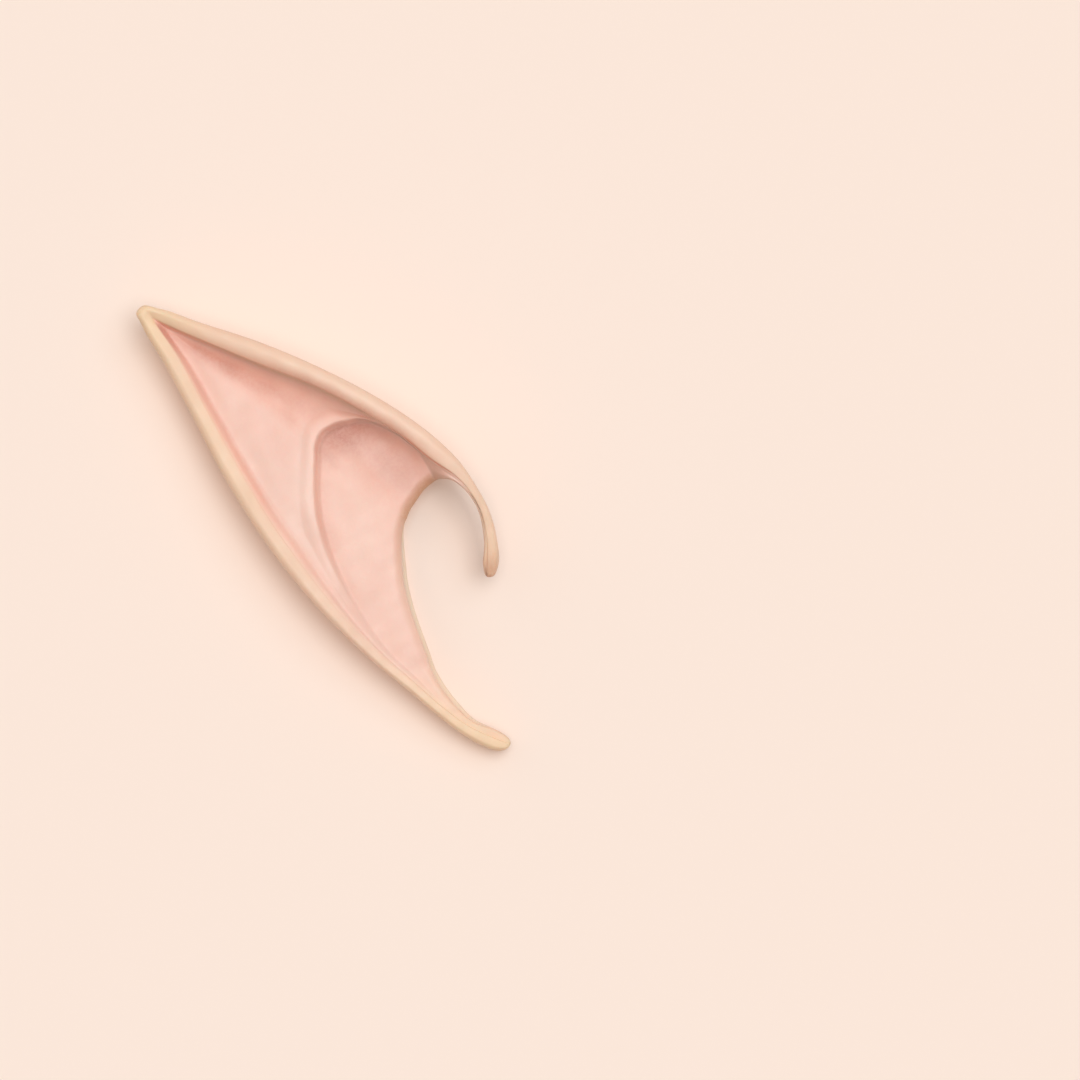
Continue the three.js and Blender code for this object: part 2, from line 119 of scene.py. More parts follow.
class Paint(Enum):
    """The colour coats of the latex, each a share from 0 to 1 stored on the mesh: five are painted light and
    shade, the rest the latex's own colours.
    """

    # Painted warm shade: in the grooves, on the fold's drop and under the roll.
    PAINTED_WARM_SHADE = "paint_warm_shade"
    # Painted highlight: on the fold's crest, the scapha and the hook's root.
    PAINTED_HIGHLIGHT = "paint_highlight"
    # Painted shade: the shadow out from the roll's overhang and the shade in the bowl.
    PAINTED_SHADE = "paint_shade"
    BLUSH = "paint_blush"
    # Painted tan shade: on the turned lips, the roll's flanks and the hook's end.
    TAN = "paint_tan_shade"
    # Painted edge shade: dark at the notch's lip and the hook's end.
    EDGE = "paint_edge_shade"
    SAND = "paint_sand"
    THIN = "paint_thin"
    INSIDE = "paint_inside"


def smooth(share: Array) -> Array:
    """Return 3s² − 2s³ for a share held between 0 and 1."""
    held = np.clip(share, 0.0, 1.0)
    return held * held * (3.0 - 2.0 * held)


def hill(run: Array, middle: Array, half: Array | float) -> Array:
    """Return exp(−((run − middle) / half)²), a soft hill along a run."""
    return np.exp(-(((run - middle) / half) ** 2))


def lerp(start: Array, end: Array, share: Array) -> Array:
    """Return start + (end − start) · share."""
    return start + (end - start) * share


@dataclass(frozen=True)
class Spline:
    """A cubic through rows of values at increasing knots, with parabolic slopes."""

    knots: Array
    values: Array

    def at(self, places: Array) -> Array:
        """Evaluate the Hermite cubic v₀(1+2s)r² + v₁(1+2r)s² + h·s·r·(m₀r − m₁s), r = 1 − s.

        Args:
            places: Where to evaluate it, held to the range of the knots.

        Returns:
            One row of values for each place.
        """
        gaps = np.diff(self.knots)[:, None]
        secants = np.diff(self.values, axis=0) / gaps
        inner = (gaps[1:] * secants[:-1] + gaps[:-1] * secants[1:]) / (gaps[1:] + gaps[:-1])
        slopes = np.vstack([secants[:1], inner, secants[-1:]])
        held = np.clip(places, self.knots[0], self.knots[-1])
        row = np.clip(np.searchsorted(self.knots, held, side="right") - 1, 0, len(gaps) - 1)
        s = ((held - self.knots[row]) / gaps[row, 0])[..., None]
        r = 1.0 - s
        ends = self.values[row] * (1 + 2 * s) * r * r + self.values[row + 1] * (1 + 2 * r) * s * s
        return ends + gaps[row] * s * r * (slopes[row] * r - slopes[row + 1] * s)


@dataclass(frozen=True)
class Fade:
    """A smooth step along a run: nothing at its start and whole at its end, which may lie lower."""

    start: float
    end: float

    def at(self, run: Array) -> Array:
        """Return smooth of (run − start) / (end − start)."""
        return smooth((run - self.start) / (self.end - self.start))


@dataclass(frozen=True)
class Window:
    """A stretch that a shade covers: it comes in from start to full and goes out from fall to end."""

    start: float
    full: float
    fall: float
    end: float

    def at(self, run: Array) -> Array:
        """Return the product of both fades."""
        return Fade(self.start, self.full).at(run) * Fade(self.end, self.fall).at(run)


@dataclass(frozen=True)
class PaintMap:
    """Where painted light and shade and the latex's own tints lie, in millimetres, and how strong they are,
    as shares.

    A pair holds the value low on the rim and the one high on it. Fades by the distance along
    the rim count from the hook's end.
    """

    # Painted warm shade in the groove beside the flat band.
    groove_low: Fade = Fade(190.0, 140.0)
    groove_high: Fade = Fade(150.0, 115.0)
    groove_middle: Pair = (1.2, 2.6)
    groove_half: Pair = (1.6, 4.2)
    groove_share: Pair = (0.5, 0.28)
    blush_start: Fade = Fade(-0.6, 1.2)
    blush_reach: float = 1.15
    # Painted shade and painted warm shade under the upper roll near the tip.
    flat_past_tip: float = 4.0
    flat_half: float = 42.0
    flat_edge: float = 3.0
    apex_start: Fade = Fade(0.8, 2.8)
    apex_share: float = 0.26
    orange_shade_start: Fade = Fade(-0.5, 1.0)
    orange_shade_under: Fade = Fade(62.0, 82.0)
    orange_shade_share: float = 0.34
    # Painted shadow out from the overhanging roll.
    hung_least: float = 0.02
    under_rise: Fade = Fade(0.25, 1.0)
    hook_side: float = 100.0
    # Painted highlight and painted warm shade at the hook's root.
    root_cover: Window = Window(19.0, 26.0, 50.0, 60.0)
    root_highlight: Window = Window(18.0, 24.0, 32.0, 38.0)
    root_foot: Window = Window(22.0, 30.0, 36.0, 46.0)
    root_warm_shade: float = 0.9
    root_tan_shade_loss: float = 0.5
    root_shade_loss: float = 0.8
    # Painted shade in the bowl beside the fold, and painted warm shade on its drop.
    recess_upper: Fade = Fade(130.0, 100.0)
    recess_top: Fade = Fade(95.0, 65.0)
    recess_middle: Pair = (1.2, 1.6)
    recess_half: Pair = (2.2, 4.6)
    recess_share: Pair = (0.2, 0.62)
    top_middle: float = 0.6
    top_half: float = 2.6
    top_share: float = 0.42
    drop_past_fold: float = 0.2
    drop_half: float = 1.0
    drop_share: float = 0.4
    # Painted highlight on the fold's crest and painted sheen on the scapha.
    crest_half: float = 1.2
    crest_clear: float = 0.8
    crest_clear_half: float = 2.2
    pale_foot: Fade = Fade(-0.5, 1.0)
    pale_ridge: float = 1.2
    pale_along: Window = Window(92.0, 112.0, 163.0, 188.0)
    # Painted edge shade and tan shade at the lips.
    notch_along: Window = Window(20.0, 28.0, 90.0, 125.0)
    notch_edge_shade: float = 0.7
    lip_tan_shade: Pair = (0.3, 1.0)
    lip_thin: Fade = Fade(0.7, 1.0)
    back_thin: Fade = Fade(-0.6, 0.2)
    # Painted tan and warm shade on the roll.
    flank_tan_shade: Pair = (0.15, 0.5)
    crown_tan_shade: float = 0.3
    underside_shade_share: float = 0.7
    inner_roll_shade_along: Fade = Fade(80.0, 65.0)
    inner_roll_shade_share: float = 0.6
    tip_past: float = 3.0
    tip_half: float = 17.0
    band_past: float = 25.0
    band_half: float = 45.0
    band_share: float = 0.5
    tail_length: float = 45.0
    hook_length: float = 40.0
    hook_share: float = 0.5
    shade_clear: float = 2.0
    # Painted tan and edge shade on the hook's end.
    end_length: float = 10.0
    end_tan_shade: float = 0.8
    end_edge_shade: float = 0.35


@dataclass(frozen=True)
class EarSizes:
    """Named sizes of the ear in millimetres: the solid's, but for the band's softer inner edge."""

    length: float = 120.0
    width: float = 42.5
    depth: float = 20.0
    wall: float = 1.3
    roll_crest: float = 0.46
    roll_drop: float = 1.5
    band_drop: float = 0.12
    roll_side: float = 2.4
    roll_foot: float = 1.8
    band_foot: float = 3.4
    tuck_depth: float = 2.4
    tuck_hang: float = 0.4
    lip_rise: float = 0.2
    face_tilt: float = 0.08
    face_step: float = 0.3
    face_full: float = 8.0
    groove_depth: float = 0.6
    groove_width: float = 5.0
    ridge_height: float = 0.5
    ridge_rise: float = 1.8
    ridge_half: float = 2.4
    concha_depth: float = 1.9
    lip_run: float = 2.4
    lip_drop: float = 2.2
    lip_radius: float = 0.45
    back_reach: float = 0.8
    back_shoulder: float = 12.0
    back_round: float = 2.3
    tip_rise: float = 8.0
    bend_start: float = 0.65
    pocket_round: float = 1.6
    tip_solid: float = 6.0
    tip_fade: float = 9.0
    wall_share: float = 0.36
    foot_share: float = 0.4
    flank_share: float = 0.25
    ridge_share: float = 0.66
    lip_share: float = 0.5
    shoulder_share: float = 0.85
    rim_share: float = 0.8
    end_dome: float = 0.9
    end_solid: float = 2.2
    end_share: float = 0.97
    dome_start: float = 0.12
    edge_share: float = 0.45
    ripple: float = 0.045


@dataclass(frozen=True)
class SkinGrid:
    """How finely the skin is worked out: ribs along the rim and points round each section."""

    ribs: int = 420
    dome: int = 7
    edge: int = 6
    lip: int = 9
    bowl: int = 26
    flank: int = 10
    ridge: int = 12
    face: int = 22
    foot: int = 12
    roll: int = 28
    back: int = 24
    floor: int = 14
    ceiling: int = 22
    ceiling_power: float = 1.6
    pocket_tries: int = 40
    tries_a_wall: float = 8.0


@dataclass
class Block:
    """One stretch of every section: runs and heights, with its painted shades."""

    run: Array
    height: Array
    paint: dict[Paint, Array] = field(default_factory=dict)

    def shade(self, paint: Paint) -> Array:
        """Return a painted shade of the block, nothing where it has none."""
        return np.broadcast_to(self.paint.get(paint, np.zeros(1)), self.run.shape)


@dataclass
class EarForm:
    """The ear as sections of a C along its rim, as arrays with one row for each rib.

    A run is the distance in plan from the rim inwards, along rim, roll, fold and lip.
    """

    sizes: EarSizes = field(default_factory=EarSizes)
    grid: SkinGrid = field(default_factory=SkinGrid)
    map: PaintMap = field(default_factory=PaintMap)

    def __post_init__(self) -> None:
        """Work out every rib from the table."""
        sizes = self.sizes
        table = np.array(RIBS, float)
        scale = np.array([sizes.width, sizes.length] * 4 + [sizes.depth] * 2) / 100.0
        table[:, : len(scale)] *= scale
        rim = table[:, 6:8]
        self.knots = np.concatenate([[0.0], np.cumsum(np.linalg.norm(np.diff(rim, axis=0), axis=1))])
        self.distance = self._distances()
        self.along = self.distance[:, None]
        values = Spline(self.knots, table).at(self.distance)
        column = {name: values[:, i : i + 1] for i, name in enumerate(RIB_COLUMNS)}
        names = ("rim", "roll", "fold", "lip")
        self.plan = {n: np.hstack([column[f"{n}_x"], column[f"{n}_y"]]) for n in names}
        self._runs(column)
        self._heights(column)

    def _distances(self) -> Array:
        """Return places along the rim: even steps, with close ones round both domed ends."""
        last = self.knots[-1]
        dome = self.sizes.end_dome
        bend = np.linspace(self.sizes.dome_start, math.pi / 2, self.grid.dome)
        first = dome * (1.0 - np.cos(bend))
        even = np.linspace(dome, last - dome, self.grid.ribs)
        return np.concatenate([first[:-1], even, last - first[-2::-1]])

    def _runs(self, column: dict[str, Array]) -> None:
        """Set the runs of the roll, its foot, the fold's flanks, the lips and the pocket's fill."""
        sizes = self.sizes

        def gap(a: str, b: str) -> Array:
            """Return the plan distance between two lines of the ear at every rib."""
            return np.linalg.norm(self.plan[a] - self.plan[b], axis=1)[:, None]

        self.roll_run = gap("rim", "roll")
        self.fold_run = self.roll_run + gap("roll", "fold")
        self.lip_run = self.fold_run + gap("fold", "lip")
        span = self.fold_run - self.roll_run
        self.hang = np.clip(column["tuck"], 0, 1)
        foot = lerp(sizes.band_foot, sizes.roll_foot, self.hang)
        self.foot_run = self.roll_run + np.minimum(foot, span * sizes.foot_share)
        self.rise = np.minimum(sizes.ridge_rise, span * sizes.flank_share)
        self.half = np.minimum(sizes.ridge_half, span * sizes.flank_share)
        self.ridge_start = self.fold_run - self.rise / 2
        self.ridge_top = self.fold_run - self.half * sizes.ridge_share
        self.ridge_end = self.ridge_top - self.half
        bowl = self.lip_run - self.fold_run
        self.lip_start = self.lip_run - np.minimum(sizes.lip_run, bowl * sizes.lip_share)
        self.back_run = self.lip_run + sizes.back_reach * np.clip(column["reach"], 0, 1)
        self.shoulder = np.minimum(sizes.back_shoulder, self.lip_run * sizes.shoulder_share)
        self.rim_wall = np.minimum(sizes.wall, self.shoulder * sizes.wall_share)
        self.fill = sizes.tip_solid * hill(self.along, self.knots[TIP_RIB], sizes.tip_fade)
        self.to_end = np.minimum(self.distance, self.knots[-1] - self.distance)[:, None]

    def _heights(self, column: dict[str, Array]) -> None:
        """Set the heights of crest, side and back and the depths of the relief."""
        sizes = self.sizes
        self.crest = column["crest"]
        self.back = np.maximum(0.0, column["back"])
        self.side = self.crest - np.minimum(sizes.roll_side, (self.crest - self.back) / 2)
        self.tuck = sizes.tuck_depth * self.hang
        self.crease = np.clip(column["crease"], 0, 1)
        self.ridge = sizes.ridge_height * self.crease
        self.bowl = sizes.concha_depth * np.clip(column["bowl"], 0, 1)
        self.turn = np.clip(column["turn"], 0, 1)
        self.breadth = smooth((self.lip_run - self.roll_run) / sizes.face_full)
        rows = np.array(FACE_HEIGHTS, float) / 100.0
        self.face_line = Spline(rows[:, 0] * sizes.length, rows[:, 1:] * sizes.depth)

    def plan_at(self, run: Array) -> tuple[Array, Array]:
        """Return x and y at runs: straight stretches rim, roll, fold, lip, then straight on."""
        spans = (self.roll_run, self.fold_run - self.roll_run, self.lip_run - self.fold_run)
        starts = (0.0, self.roll_run, self.fold_run)
        lines = ("rim", "roll", "fold", "lip")
        point = np.broadcast_to(self.plan["rim"][:, None, :], (*run.shape, 2)).copy()
        for i, (start, span) in enumerate(zip(starts, spans)):
            most = 1.0 if i < 2 else np.inf
            share = np.clip((run - start) / span, 0.0, most)[..., None]
            point += share * (self.plan[lines[i + 1]] - self.plan[lines[i]])[:, None, :]
        return point[..., 0], point[..., 1]

    def bend_at(self, y: Array) -> Array:
        """Return the lift of the tip: rise · ((y − start) / (length − start))²."""
        start = self.sizes.bend_start * self.sizes.length
        return self.sizes.tip_rise * np.maximum(0.0, (y - start) / (self.sizes.length - start)) ** 2

    def shoulder_at(self, share: Array) -> Array:
        """Return a quarter of a rounded square: (1 − (1 − s)ⁿ)^(1/n)."""
        power = self.sizes.back_round
        return (1.0 - (1.0 - np.clip(share, 0.0, 1.0)) ** power) ** (1.0 / power)

    def slope_at(self, run: Array) -> Array:
        """Return how far the bowl has set in at a run: an even slope from the roll's foot."""
        return smooth((run - self.foot_run) / (self.fold_run + self.rise / 2 - self.foot_run))

    def plain_face_at(self, run: Array) -> Array:
        """Return the face's height without its fold: own height − bowl − groove − turned lip."""
        sizes = self.sizes
        at = np.clip(run, self.foot_run, self.lip_run)
        x, y = self.plan_at(at)
        own = self.face_line.at(y)[..., 0] - sizes.face_tilt * x
        groove = sizes.groove_depth * self.breadth * hill(at, self.foot_run, sizes.groove_width)
        turned = np.maximum(0.0, (at - self.lip_start) / (self.lip_run - self.lip_start)) ** 2
        hollow = self.bowl * self.slope_at(at) + groove + sizes.lip_drop * self.turn * turned
        return lerp(self.crest - sizes.face_step, own, self.breadth) - hollow

    def face_at(self, run: Array) -> Array:
        """Return the top of the face: the plain face with the curved fold standing on it."""
        at = np.clip(run, self.foot_run, self.lip_run)
        inside = smooth((at - self.ridge_start) / self.rise)
        across = np.clip(np.abs(at - self.ridge_top) / self.half, 0, 1)
        broad = self.slope_at(at)
        slope = lerp(broad, inside, self.crease)
        relief = self.ridge * (1 - across**2) ** 1.5
        return self.plain_face_at(at) + relief - self.bowl * (slope - broad)

    def back_at(self, run: Array) -> Array:
        """Return the outside of the back: a rounded shoulder from the rim to the flat."""
        return lerp(self.side, self.back, self.shoulder_at(run / self.shoulder))

    def wall_at(self, run: Array) -> Array:
        """Return the thickness of one wall, held to a share of the local depth."""
        depth = self.plain_face_at(run) - self.back_at(run)
        return np.minimum(self.sizes.wall, depth * self.sizes.wall_share)

    def floor_at(self, run: Array) -> Array:
        """Return the inside of the back wall: its outside moved in and up by the wall."""
        share = (run - self.rim_wall) / (self.shoulder - self.rim_wall)
        return lerp(self.side, self.back + self.wall_at(run), self.shoulder_at(share))

    def ceiling_at(self, run: Array) -> Array:
        """Return the underside of the face."""
        return self.plain_face_at(run) - self.wall_at(run)

    def pocket_start(self) -> Array:
        """Return the run at which each rib's pocket starts, where there is room under the face."""
        steps = np.arange(self.grid.pocket_tries) / self.grid.tries_a_wall
        tries = self.rim_wall * (1.0 + steps)[None, :]
        room = self.ceiling_at(tries) - self.floor_at(tries) >= self.sizes.pocket_round / 2
        first = np.where(room.any(axis=1), room.argmax(axis=1), tries.shape[1] - 1)
        start = np.take_along_axis(tries, first[:, None], axis=1)
        start = np.minimum(np.maximum(start, self.fill), self.lip_run * self.sizes.rim_share)
        closed = smooth(1.0 - self.to_end / self.sizes.end_solid)
        return lerp(start, self.lip_run * self.sizes.end_share, closed)

    def lip_radius(self) -> Array:
        """Return the radius that rounds each edge of both lips."""
        return np.minimum(self.sizes.lip_radius, self.wall_at(self.lip_run) * self.sizes.edge_share)

    def _stretch(self, start: Array, end: Array, steps: int) -> Array:
        """Return even runs from start up to, but not on, end, one row for each rib."""
        return lerp(start, end, (np.arange(steps) / steps)[None, :])

    def _edge(self, end: Array, radius: Array) -> tuple[Array, Array]:
        """Return runs and drops of a rounded edge: a quarter circle from its end inwards."""
        angle = np.linspace(0.0, math.pi / 2, self.grid.edge, endpoint=False)[None, :]
        return end - radius * (1.0 - np.cos(angle)), radius * (1.0 - np.sin(angle))

    def face_block(self) -> Block:
        """Return the moulded face from the lip of the opening to the roll's foot."""
        grid = self.grid
        radius = self.lip_radius()
        edge_run, edge_drop = self._edge(self.lip_run, radius)
        inner = self.lip_run - radius
        runs = [
            edge_run,
            self._stretch(inner, np.minimum(self.lip_start, inner), grid.lip),
            self._stretch(np.minimum(self.lip_start, inner), self.fold_run, grid.bowl),
            self._stretch(self.fold_run, self.ridge_start, grid.flank),
            self._stretch(self.ridge_start, self.ridge_end, grid.ridge),
            self._stretch(self.ridge_end, self.foot_run, grid.face),
        ]
        run = np.hstack(runs)
        height = self.face_at(run)
        height[:, : grid.edge] -= edge_drop
        return Block(run, height, self._face_paint(run))

    def _painted_roll_shadow(self, run: Array) -> Array:
        """Return the painted shadow a little way out from the overhanging roll, by plan distance.

        Args:
            run: Runs of the points.

        Returns:
            The share of the shade: a soft hill at the distance that the table gives for the
            nearest place of the roll.
        """
        hung = np.flatnonzero(self.hang[:, 0] > self.map.hung_least)[::2]
        edge = self.plan["roll"][hung]
        shade = dict(zip(SHADE_COLUMNS, np.array(PAINTED_ROLL_SHADOW, float).T))
        x, y = self.plan_at(run)
        gaps = np.hypot(x[..., None] - edge[:, 0], y[..., None] - edge[:, 1])
        near = gaps.min(axis=-1)
        along = self.distance[hung][gaps.argmin(axis=-1)]
        middle, half, share = (np.interp(along, shade["along"], shade[n]) for n in SHADE_COLUMNS[1:])
        rise = self.map.under_rise.at(near / middle)
        return share * rise * hill(np.maximum(near, middle), middle, half)

    def _beside_roll(self, run: Array) -> dict[Paint, Array]:
        """Return the painted shade and the blush that lie beside the roll, on the face and on the curve up
        to it.

        Args:
            run: Runs from the roll inwards.

        Returns:
            The painted shadow out from the roll's overhang and in the apex, the painted warm shade in
            the groove beside the flat band and under the upper roll, and the blush over the whole face.
        """
        where = self.map
        out = run - self.roll_run
        # Painted warm shade in the groove beside the flat band, where the band's foot shades it.
        high = where.groove_high.at(self.along)
        groove = hill(out, lerp(*where.groove_middle, high), lerp(*where.groove_half, high))
        groove = groove * (1.0 - self.hang)
        groove = groove * lerp(*where.groove_share, high) * where.groove_low.at(self.along)
        hung = smooth(out / (where.blush_reach * (self.foot_run - self.roll_run)))
        # Near the tip: painted shade in the apex and painted warm shade on the upper flat, under the upper
        # roll.
        flat = hill(self.along, self.knots[TIP_RIB] + where.flat_past_tip, where.flat_half)
        flat = flat * smooth((self.ridge_end - run) / where.flat_edge)
        apex = where.apex_share * flat * where.apex_start.at(out)
        # Painted shadow out from the roll's overhang, made warm away from the hook.
        shade = self._painted_roll_shadow(run) * (out > 0)
        orange_shade = np.maximum(where.orange_shade_share * flat, shade * where.orange_shade_under.at(self.along))
        orange_shade = orange_shade * where.orange_shade_start.at(out)
        hook = np.maximum(self.breadth, where.root_cover.at(self.along))
        cover = np.where(self.along < where.hook_side, hook, np.sqrt(self.breadth))
        return {
            Paint.PAINTED_SHADE: np.maximum(shade, apex) * cover,
            Paint.PAINTED_WARM_SHADE: np.maximum(groove, orange_shade) * self.breadth,
            Paint.BLUSH: lerp(where.blush_start.at(out), hung, self.hang) * cover,
        }

    def _recess(self, run: Array) -> Array:
        """Return the painted shade in the bowl beside the fold, below its drop: wide and strong at the
        fold's top.
        """
        where = self.map
        upper = where.recess_upper.at(self.along)
        top = where.recess_top.at(self.along)
        middle = self.fold_run + lerp(*where.recess_middle, upper) + where.top_middle * top
        sunk = hill(run, middle, lerp(*where.recess_half, upper) + where.top_half * top) * self.crease
        sunk = sunk * smooth((run - self.ridge_start) / self.rise) * self.breadth
        return sunk * (lerp(*where.recess_share, upper) + where.top_share * top)

    def _face_paint(self, run: Array) -> dict[Paint, Array]:
        """Return the colour coats across the face, as soft hills along the runs: painted shade, warm shade
        and highlight, painted tan and edge shade at the lip, and the blush.
        """
        where = self.map
        paint = self._beside_roll(run)
        # Painted warm shade on the fold's inner drop.
        drop = hill(run, self.fold_run + where.drop_past_fold, where.drop_half) * self.crease * self.breadth
        # Painted sheen: the scapha lighter between the groove and the fold.
        pale = where.pale_foot.at(run - self.foot_run) * smooth((self.ridge_start - run) / where.pale_ridge)
        pale = pale * where.pale_along.at(self.along)
        # Painted highlight on the fold's crest and at the hook's root.
        crest = np.maximum(hill(run, self.ridge_top, where.crest_half), pale) * self.crease
        # Painted tan shade and edge shade on the turned-down lip, darkest at the notch.
        edge_share = (run - self.lip_start) / (self.lip_run - self.lip_start)
        notch = where.notch_along.at(self.along)
        raised = 1.0 - where.crest_clear * hill(run, self.ridge_top, where.crest_clear_half) * self.crease
        paint[Paint.PAINTED_SHADE] = np.maximum(paint[Paint.PAINTED_SHADE] * raised, self._recess(run))
        paint[Paint.PAINTED_WARM_SHADE] = np.maximum(paint[Paint.PAINTED_WARM_SHADE], drop * where.drop_share)
        paint[Paint.PAINTED_HIGHLIGHT] = np.maximum(crest, where.root_highlight.at(self.along))
        paint[Paint.TAN] = smooth(edge_share) * lerp(*where.lip_tan_shade, self.turn)
        paint[Paint.EDGE] = smooth(edge_share) * notch * where.notch_edge_shade
        paint[Paint.THIN] = where.lip_thin.at(edge_share) * (1.0 - notch)
        return paint

    def roll_ends(self) -> tuple[Array, Array]:
        """Return the heights of the face at the roll's foot and of the roll's inner edge."""
        low = self.face_at(self.foot_run)
        drop = lerp(self.sizes.band_drop, self.sizes.roll_drop, self.hang)
        return low, np.maximum(self.crest - drop, lerp(low, self.crest, self.sizes.lip_rise))

    def foot_block(self) -> Block:
        """Return the curve from the face up under the roll: a cubic Bézier in run and height."""
        low, high = self.roll_ends()
        t = (np.arange(self.grid.foot) / self.grid.foot)[None, :]
        r = 1.0 - t
        bernstein = (r**3, 3 * r * r * t, 3 * r * t * t, t**3)
        reach = lerp(self.foot_run, self.roll_run, 0.5)
        under = lerp(reach, self.roll_run - self.tuck, self.hang)
        runs = (self.foot_run, under, lerp(reach, self.roll_run, self.hang), self.roll_run)
        heights = (low, low, lerp(high, lerp(low, high, self.sizes.tuck_hang), self.hang), high)
        run = sum(b * point for b, point in zip(bernstein, runs))
        height = sum(b * point for b, point in zip(bernstein, heights))
        where = self.map
        paint = self._beside_roll(run)
        # At the hook's root the wedge under the roll takes painted warm shade in place of the darker painted
        # shade, and less painted tan shade; up the curve the roll's underside takes painted warm and tan
        # shade.
        root = where.root_foot.at(self.along)
        warm = np.maximum(where.root_warm_shade * root * (1.0 - t**4), t**2 * self._roll_underside_shade())
        paint[Paint.TAN] = t**2 * self._flank_shade() * (1.0 - where.root_tan_shade_loss * root)
        paint[Paint.PAINTED_WARM_SHADE] = np.maximum(paint[Paint.PAINTED_WARM_SHADE], warm)
        paint[Paint.PAINTED_SHADE] = paint[Paint.PAINTED_SHADE] * (1.0 - where.root_shade_loss * root)
        return Block(run, height, paint)

    def _flank_shade(self) -> Array:
        """Return the painted tan shade on the roll's inner flank: most where the roll overhangs the face."""
        return lerp(*self.map.flank_tan_shade, self.hang) * self.breadth

    def _roll_underside_shade(self) -> Array:
        """Return the painted warm shade on the roll's overhanging inner side."""
        return self.map.underside_shade_share * self.hang * self.breadth

    def roll_block(self) -> Block:
        """Return the rolled rim: two quarter ellipses that meet at the crest."""
        sizes = self.sizes
        lip = self.roll_ends()[1]
        angle = np.linspace(0.0, math.pi, self.grid.roll)[None, :]
        half = np.where(angle <= math.pi / 2, 1 - sizes.roll_crest, sizes.roll_crest)
        run = np.maximum(0.0, self.roll_run * (sizes.roll_crest + half * np.cos(angle)))
        base = np.where(angle <= math.pi / 2, lip, self.side)
        height = lerp(base, self.crest, np.sin(angle))
        # Painted tan shade on the roll's inner flank and, where it overhangs, on its outer side; painted
        # warm shade and painted shade on its overhanging inner side.
        tan = np.where(angle <= math.pi / 2, self._flank_shade(), self.map.crown_tan_shade * self.hang)
        inner = np.maximum(0.0, np.cos(angle))
        inner_roll_shade = self.map.inner_roll_shade_share * self.map.inner_roll_shade_along.at(self.along) * self.hang * self.breadth
        beside = self._beside_roll(run)
        paint = {
            Paint.BLUSH: beside[Paint.BLUSH] * (angle < math.pi / 2),
            Paint.PAINTED_WARM_SHADE: np.maximum(beside[Paint.PAINTED_WARM_SHADE], self._roll_underside_shade()) * inner**2,
            Paint.PAINTED_SHADE: inner * inner_roll_shade,
            Paint.TAN: np.cos(angle) ** 2 * tan,
        }
        return Block(run, height, paint)

    def back_block(self) -> Block:
        """Return the outside of the back wall, from just inside the rim to its rounded lip."""
        radius = self.lip_radius()
        inner = self.back_run - radius
        share = (np.arange(1, self.grid.back + 1) / self.grid.back) ** 2
        run = inner * share[None, :]
        edge_run, edge_drop = self._edge(self.back_run, radius)
        height = np.hstack([self.back_at(run), self.back_at(edge_run[:, ::-1]) + edge_drop[:, ::-1]])
        run = np.hstack([run, edge_run[:, ::-1]])
        return Block(run, height, {Paint.THIN: self.map.back_thin.at(run - inner)})

    def pocket_block(self) -> Block:
        """Return the pocket: in along the back wall, round its edge and out under the face."""
        start = self.pocket_start()
        middle = lerp(self.floor_at(start), self.ceiling_at(start), 0.5)
        mouth = np.minimum(self.sizes.pocket_round, self.lip_run - start)
        radius = self.lip_radius()
        low_edge, low_drop = self._edge(self.back_run, radius)
        inner = self.back_run - radius
        inward = 1.0 - np.arange(self.grid.floor) / (self.grid.floor - 1.0)
        floor_run = np.hstack([low_edge[:, 1:], start + (inner - start) * inward[None, :] ** 2])
        floor = lerp(middle, self.floor_at(floor_run), self.shoulder_at((floor_run - start) / mouth))
        floor[:, : self.grid.edge - 1] -= low_drop[:, 1:]
        high_edge, high_drop = self._edge(self.lip_run, radius)
        outward = (np.arange(1, self.grid.ceiling + 1) / self.grid.ceiling) ** self.grid.ceiling_power
        ceiling_run = lerp(start, self.lip_run - radius, outward[None, :])
        ceiling_run = np.hstack([ceiling_run, high_edge[:, :0:-1]])
        ceiling = lerp(middle, self.ceiling_at(ceiling_run), self.shoulder_at((ceiling_run - start) / mouth))
        ceiling[:, self.grid.ceiling :] += high_drop[:, :0:-1]
        run = np.hstack([floor_run, ceiling_run])
        return Block(run, np.hstack([floor, ceiling]), {Paint.INSIDE: np.ones_like(run)})

    def ripple_at(self, x: Array, y: Array) -> Array:
        """Return the hand-poured casting's faint unevenness, a sum of slow sines in plan."""
        waves = sum(np.sin(2 * math.pi * (a * x + b * y) + c) for a, b, c in RIPPLES)
        return self.sizes.ripple * waves

    def surface(self) -> tuple[Array, dict[Paint, Array]]:
        """Return the closed skin's points, ribs by section points by xyz, and its shades."""
        front = [self.face_block(), self.foot_block(), self.roll_block()]
        blocks = front + [self.back_block(), self.pocket_block()]
        run = np.hstack([block.run for block in blocks])
        x, y = self.plan_at(run)
        height = np.hstack([block.height for block in blocks]) + self.bend_at(y)
        paint = {shade: np.hstack([block.shade(shade) for block in blocks]) for shade in Paint}
        shown = sum(block.run.shape[1] for block in front)
        height[:, :shown] += self.ripple_at(x, y)[:, :shown]
        self._paint_ends(paint)
        points = np.stack([x, y, height], axis=-1)
        middle = points.mean(axis=1, keepdims=True)
        left = 1.0 - np.clip(self.to_end / self.sizes.end_dome, 0.0, 1.0)
        swell = np.sqrt(1.0 - left**2)[..., None]
        return middle + (points - middle) * swell, paint

